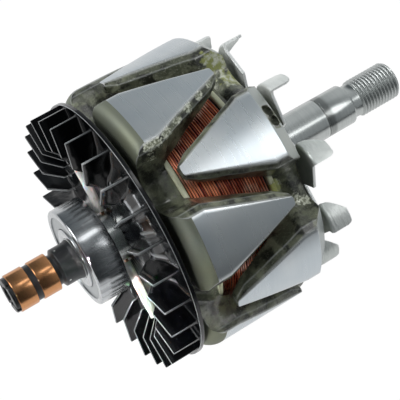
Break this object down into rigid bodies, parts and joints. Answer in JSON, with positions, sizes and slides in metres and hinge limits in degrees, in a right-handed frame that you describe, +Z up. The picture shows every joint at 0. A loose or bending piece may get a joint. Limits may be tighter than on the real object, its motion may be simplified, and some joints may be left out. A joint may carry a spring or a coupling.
{
  "type": "alternator rotor",
  "caption": "Claw-pole alternator rotor: shaft with pulley thread, claw pole pieces round a field coil, moulded rear fan, stamped front fan, slip rings and rear ball bearing.",
  "frame": {"origin": "on the shaft's axis, at the shoulder that the drive-end bearing seats against", "axes": "+X along the shaft towards the pulley thread, +Z up, +Y completes a right-handed frame"},
  "size_m": [0.1782, 0.1106, 0.1106],
  "materials": {
    "ground_steel": "ground, satin",
    "claw_steel": "forged and varnished, turned on the outside",
    "core_steel": "turned",
    "bobbin_plastic": "moulded, matt",
    "enamelled_copper": "enamelled, glossy",
    "fan_plastic": "moulded, glossy",
    "zinc_sheet": "zinc plated, satin",
    "bearing_steel": "ground and polished",
    "shield_steel": "pressed, satin",
    "ring_copper": "turned, satin",
    "moulding_plastic": "moulded, satin",
    "sleeve_fibre": "varnished braid"
  },
  "bodies": {
    "rotor": {"shaft": "ground_steel", "rear_pole_piece": "claw_steel", "front_pole_piece": "claw_steel", "pole_core": "core_steel", "coil_bobbin": "bobbin_plastic", "field_coil": "enamelled_copper", "rear_fan": "fan_plastic", "front_fan": "zinc_sheet", "bearing_inner_ring": "bearing_steel", "slip_ring_moulding": "moulding_plastic", "slip_ring_outer": "ring_copper", "slip_ring_inner": "ring_copper", "slip_ring_bar_1": "ring_copper", "slip_ring_bar_2": "ring_copper", "lead_sleeve_1": "sleeve_fibre", "lead_sleeve_2": "sleeve_fibre", "coil_end_1": "enamelled_copper", "coil_end_2": "enamelled_copper"},
    "bearing_outer": {"bearing_outer_ring": "bearing_steel", "bearing_shield_rear": "shield_steel", "bearing_shield_front": "shield_steel"},
    "bearing_cage": {"bearing_balls": "bearing_steel", "bearing_cage_rear": "shield_steel", "bearing_cage_front": "shield_steel", "bearing_cage_rivets": "shield_steel"}
  },
  "joints": [
    {"name": "bearing_spin", "type": "hinge", "parent": "rotor", "child": "bearing_outer", "pos_m": [-0.0789, 0, 0], "axis": [1, 0, 0], "continuous": true},
    {"name": "cage_spin", "type": "hinge", "parent": "rotor", "child": "bearing_cage", "pos_m": [-0.0789, 0, 0], "axis": [1, 0, 0], "continuous": true}
  ],
  "couplings": [
    {"joint": "cage_spin", "follows": "bearing_spin", "ratio": 0.6184}
  ]
}
